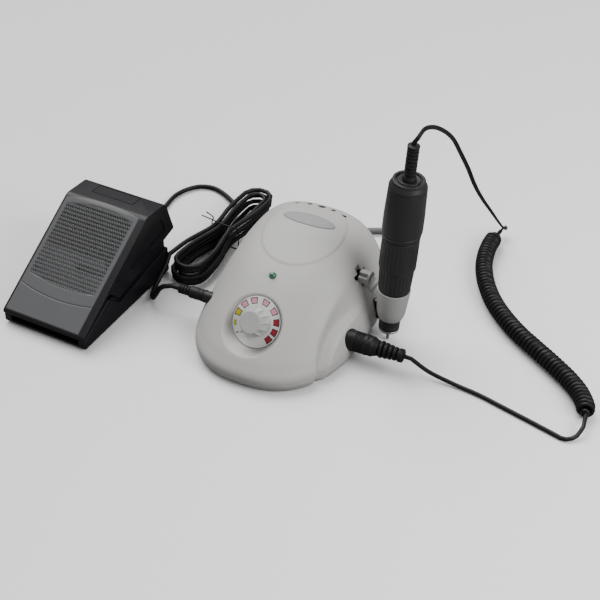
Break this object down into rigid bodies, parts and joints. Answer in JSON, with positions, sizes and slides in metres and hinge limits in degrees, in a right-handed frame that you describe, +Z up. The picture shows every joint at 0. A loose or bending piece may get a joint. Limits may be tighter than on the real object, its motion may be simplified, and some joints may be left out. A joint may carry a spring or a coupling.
{
  "type": "portable micromotor",
  "caption": "Benchtop micromotor set: domed control box with speed knob, motor handpiece in a side cradle, sprung foot pedal, curly motor cord, tied pedal cord and mains cord.",
  "frame": {"origin": "on the table, below the middle of the box, handpiece and pedal taken together without their cords", "axes": "+Z up; the control box faces -Y; its cradle and handpiece are on the +X side and the foot pedal on the -X side"},
  "size_m": [0.4318, 0.2824, 0.18],
  "materials": {
    "box_plastic": "moulded, finely grained, satin",
    "cradle_plastic": "moulded, smooth",
    "knob_plastic": "moulded, satin",
    "dial_white": "printed plate, satin",
    "badge_grey": "pearly, bare",
    "lamp_green": "clear dyed lens",
    "socket_black": "moulded",
    "switch_black": "moulded, polished",
    "relief_black": "ribbed, matt",
    "plug_black": "moulded, matt",
    "foot_rubber": "matt",
    "board_green": "lacquered laminate",
    "core_steel": "stacked sheet",
    "copper": "copper, bright",
    "brass": "turned",
    "alloy": "extruded",
    "metal_can": "pressed can",
    "handpiece_black": "satin black coating",
    "steel": "ground and polished",
    "magnet_grey": "sintered",
    "pedal_black": "moulded, glossy",
    "pad_grey": "fine dotted rows, matt",
    "cord_black": "satin sheath",
    "mains_grey": "satin sheath"
  },
  "bodies": {
    "root": {"badge_plate": "badge_grey", "base_tray": "box_plastic", "circuit_board": "board_green", "cord_tie": "plug_black", "cradle": "cradle_plastic", "curly_cord": "cord_black", "dial_plate": "dial_white", "foot_back_left": "foot_rubber", "foot_back_right": "foot_rubber", "foot_front_left": "foot_rubber", "foot_front_right": "foot_rubber", "heat_sink": "alloy", "hinge_pin": "steel", "led_lens": "lamp_green", "mains_cord_hank": "mains_grey", "mains_cord_lead": "mains_grey", "mains_gland": "relief_black", "mains_plug": "mains_grey", "motor_cord_lower": "cord_black", "motor_cord_upper": "cord_black", "motor_plug": "plug_black", "motor_socket": "socket_black", "pedal_base": "pedal_black", "pedal_cord_hank": "cord_black", "pedal_cord_lead": "cord_black", "pedal_cord_relief": "relief_black", "pedal_cord_tail": "cord_black", "pedal_foot_back": "foot_rubber", "pedal_foot_front": "foot_rubber", "pedal_plug": "plug_black", "pedal_socket": "socket_black", "potentiometer": "metal_can", "return_spring": "steel", "switch_frame": "switch_black", "transformer_core": "core_steel", "transformer_winding": "copper", "upper_shell": "box_plastic"},
    "speed_dial": {"speed_knob": "knob_plastic", "pot_shaft": "brass"},
    "rocker": {"power_rocker": "switch_black"},
    "treadle": {"treadle": "pedal_black", "treadle_pad": "pad_grey"},
    "handpiece": {"front_grip": "handpiece_black", "nose_cap": "steel", "nose_ring": "handpiece_black", "motor_housing": "handpiece_black", "rear_cap": "handpiece_black", "handpiece_cord_relief": "relief_black", "stator_magnets": "magnet_grey", "brush_holder": "board_green", "nose_bearing": "steel"},
    "lock_ring": {"lock_ring": "handpiece_black"},
    "rotor": {"bur_blank": "steel", "collet": "brass", "spindle": "steel", "motor_shaft": "steel", "armature": "core_steel", "commutator": "copper"}
  },
  "joints": [
    {"name": "speed_turn", "type": "hinge", "parent": "root", "child": "speed_dial", "pos_m": [0.04517, -0.04296, 0.0335], "axis": [0, 0.8192, -0.5736], "range_deg": [0, 260]},
    {"name": "power_tilt", "type": "hinge", "parent": "root", "child": "rocker", "pos_m": [0.10747, 0.04005, 0.018], "axis": [0, 0, -1], "range_deg": [0, 16]},
    {"name": "treadle_press", "type": "hinge", "parent": "root", "child": "treadle", "pos_m": [-0.1076, -0.08608, 0.0096], "axis": [-0.9992, 0.0401, 0], "range_deg": [0, 4.8], "stiffness_Nm_per_rad": 2, "springref_deg": -6.88, "deforming": ["return_spring"]},
    {"name": "handpiece_lift", "type": "slide", "parent": "root", "child": "handpiece", "axis": [0.0633, 0.0218, 0.9978], "range_m": [0, 0.045], "deforming": ["motor_cord_upper"]},
    {"name": "chuck_lock", "type": "hinge", "parent": "handpiece", "child": "lock_ring", "pos_m": [0.12266, 0.01844, 0.003], "axis": [0.0633, 0.0218, 0.9978], "range_deg": [0, 90]},
    {"name": "spindle_spin", "type": "hinge", "parent": "handpiece", "child": "rotor", "pos_m": [0.12266, 0.01844, 0.003], "axis": [0.0633, 0.0218, 0.9978], "continuous": true}
  ]
}
